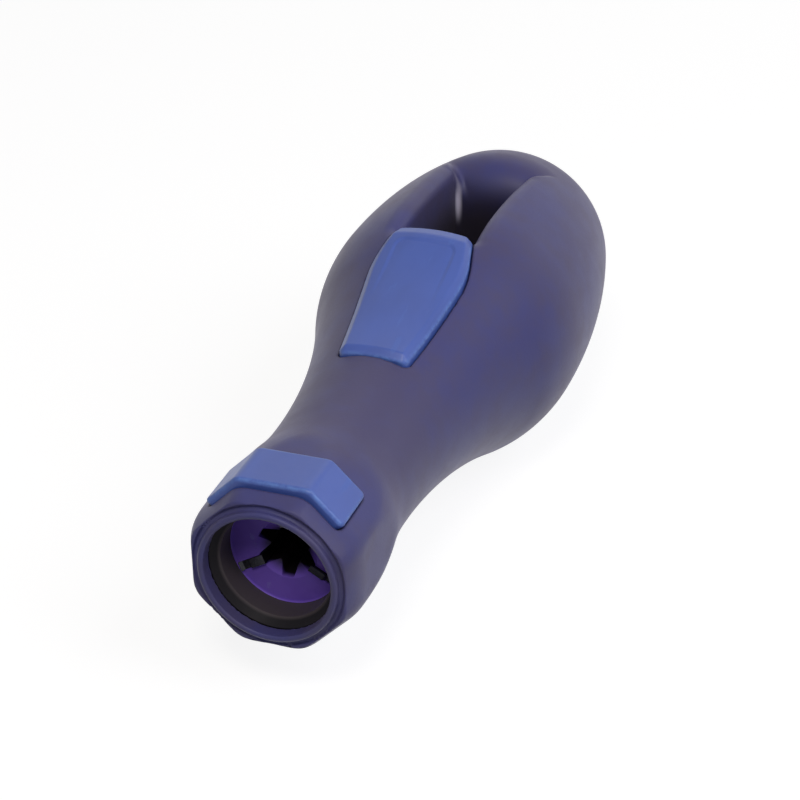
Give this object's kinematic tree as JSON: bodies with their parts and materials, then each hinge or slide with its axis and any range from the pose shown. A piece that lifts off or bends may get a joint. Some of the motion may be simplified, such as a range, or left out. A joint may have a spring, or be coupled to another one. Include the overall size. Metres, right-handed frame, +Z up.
{
  "type": "pipe deburring tool",
  "caption": "Skittle-shaped hand deburring tool: octagonal head with a blade socket for a pipe's end, soft grip, thumb plate and chip window in the bulb.",
  "frame": {"origin": "on the tool's axis, in the plane of the blades' cutting tips inside the guide ring's bore, where a pipe's end meets the blades", "axes": "-Y out of the mouth, +Y along the axis to the bulb, +Z up through the thumb plate and chip window, +X to the right seen from the mouth"},
  "size_m": [0.0532, 0.15, 0.052],
  "materials": {
    "grip_elastomer": "matt soft-touch, dark grey-blue",
    "blue_plastic": "satin royal blue",
    "liner_plastic": "matt near-black",
    "dark_plastic": "matt glass-filled nylon",
    "blade_steel": "black-oxide tool steel, ground edges",
    "stainless_steel": "brushed",
    "screw_steel": "zinc plated",
    "spring_steel": "blackened spring steel",
    "insert_brass": "knurled, plain"
  },
  "bodies": {
    "root": {"blade_1": "blade_steel", "blade_2": "blade_steel", "blade_3": "blade_steel", "bulb_screws": "screw_steel", "chip_chute": "dark_plastic", "clamp_ring": "stainless_steel", "clamp_screws": "screw_steel", "core_left": "dark_plastic", "core_right": "dark_plastic", "cutter_hub": "blue_plastic", "disc_spring": "spring_steel", "guide_ring": "liner_plastic", "hub_inserts": "insert_brass", "neck_screws": "screw_steel", "push_nuts": "spring_steel", "snap_ring": "spring_steel", "socket_body": "blue_plastic", "soft_grip": "grip_elastomer", "thumb_plate": "blue_plastic", "torque_pins": "screw_steel"}
  },
  "joints": []
}
